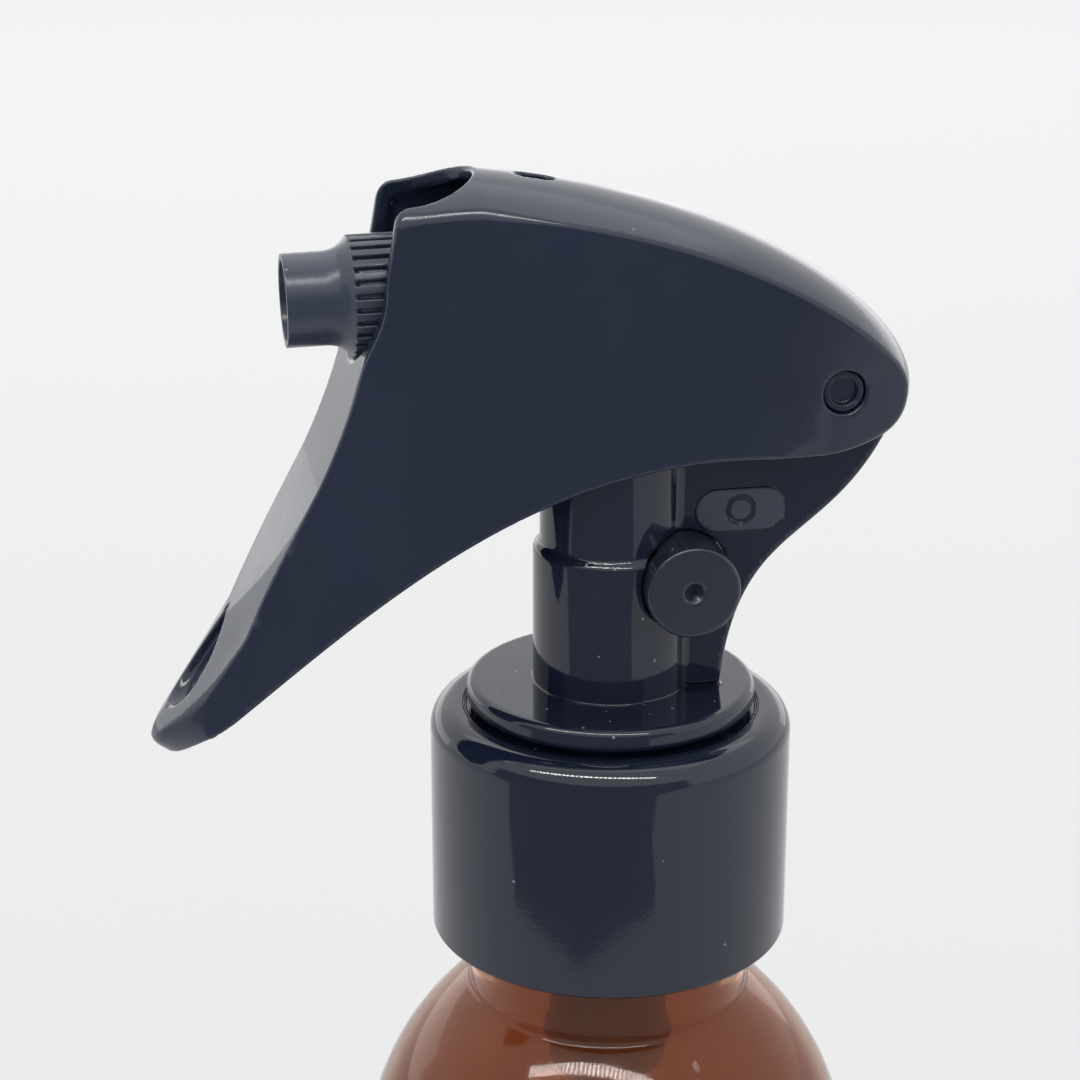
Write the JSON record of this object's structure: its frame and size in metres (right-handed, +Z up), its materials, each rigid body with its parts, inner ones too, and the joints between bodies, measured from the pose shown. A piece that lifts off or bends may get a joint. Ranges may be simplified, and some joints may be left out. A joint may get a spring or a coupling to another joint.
{
  "type": "spray bottle",
  "caption": "Small amber bottle with a screw-on black mini trigger sprayer: hinged trigger shell, ribbed nozzle, cross lock button and dip tube.",
  "frame": {"origin": "centre of the bottle's flat base, on the floor", "axes": "+Z up along the bottle, -X towards the nozzle, Y across the trigger"},
  "size_m": [0.0669, 0.046, 0.1768],
  "materials": {
    "amber_pet": "clear amber-brown blown plastic, glossy",
    "black_gloss": "glossy blue-black moulded plastic",
    "black_satin": "satin blue-black moulded plastic",
    "natural_plastic": "milky natural moulded plastic",
    "clear_tube": "translucent extruded tube",
    "seal_foam": "pale soft liner",
    "seal_rubber": "black rubber",
    "spring_steel": "bright drawn wire",
    "ball_steel": "polished ball"
  },
  "bodies": {
    "bottle": {"bottle": "amber_pet"},
    "pump": {"pump_body": "black_gloss", "pump_cylinder": "natural_plastic", "gasket": "seal_foam", "stem_guide": "natural_plastic", "vent_seal": "seal_foam", "return_spring": "spring_steel", "ball_cage": "natural_plastic", "dip_tube": "clear_tube"},
    "closure": {"closure": "black_gloss"},
    "stem": {"piston_rod": "natural_plastic", "piston": "natural_plastic", "spout": "black_gloss", "swirl_insert": "natural_plastic"},
    "inlet_ball": {"inlet_ball": "ball_steel"},
    "outlet_ball": {"outlet_ball": "ball_steel"},
    "nozzle_seal": {"nozzle_seal": "seal_rubber"},
    "nozzle": {"nozzle": "black_satin"},
    "trigger": {"trigger_shell": "black_gloss", "hinge_pin": "black_gloss"},
    "lock": {"lock_button": "black_satin"}
  },
  "joints": [
    {"name": "head_lift", "type": "slide", "parent": "bottle", "child": "pump", "axis": [0, 0, 1], "range_m": [0, 0.00634]},
    {"name": "closure_turn", "type": "hinge", "parent": "pump", "child": "closure", "pos_m": [0, 0, 0.107], "axis": [0, 0, 1], "range_deg": [0, 540]},
    {"name": "trigger_pull", "type": "hinge", "parent": "pump", "child": "trigger", "pos_m": [0.0184, 0, 0.1582], "axis": [0, -1, 0], "range_deg": [0, 14], "stiffness_Nm_per_rad": 0.15, "springref_deg": -34.38},
    {"name": "stem_stroke", "type": "slide", "parent": "pump", "child": "stem", "axis": [0, 0, -1], "range_m": [0, 0.0044], "deforming": ["return_spring"]},
    {"name": "nozzle_advance", "type": "slide", "parent": "stem", "child": "nozzle_seal", "axis": [-0.9998, 0, -0.0209], "range_m": [0, 0.0015]},
    {"name": "nozzle_turn", "type": "hinge", "parent": "nozzle_seal", "child": "nozzle", "pos_m": [-0.016, 0, 0.16675], "axis": [-0.9998, 0, -0.0209], "range_deg": [0, 360]},
    {"name": "lock_slide", "type": "slide", "parent": "pump", "child": "lock", "axis": [0, 1, 0], "range_m": [0, 0.0028]},
    {"name": "inlet_ball_lift", "type": "slide", "parent": "pump", "child": "inlet_ball", "axis": [0, 0, 1], "range_m": [0, 0.0009]},
    {"name": "outlet_ball_lift", "type": "slide", "parent": "stem", "child": "outlet_ball", "axis": [0, 0, 1], "range_m": [0, 0.0009]}
  ],
  "couplings": [
    {"joint": "closure_turn", "follows": "head_lift", "rad_per_m": 1485.4},
    {"joint": "trigger_pull", "follows": "stem_stroke", "rad_per_m": 55.556},
    {"joint": "nozzle_turn", "follows": "nozzle_advance", "rad_per_m": 4188.8}
  ]
}
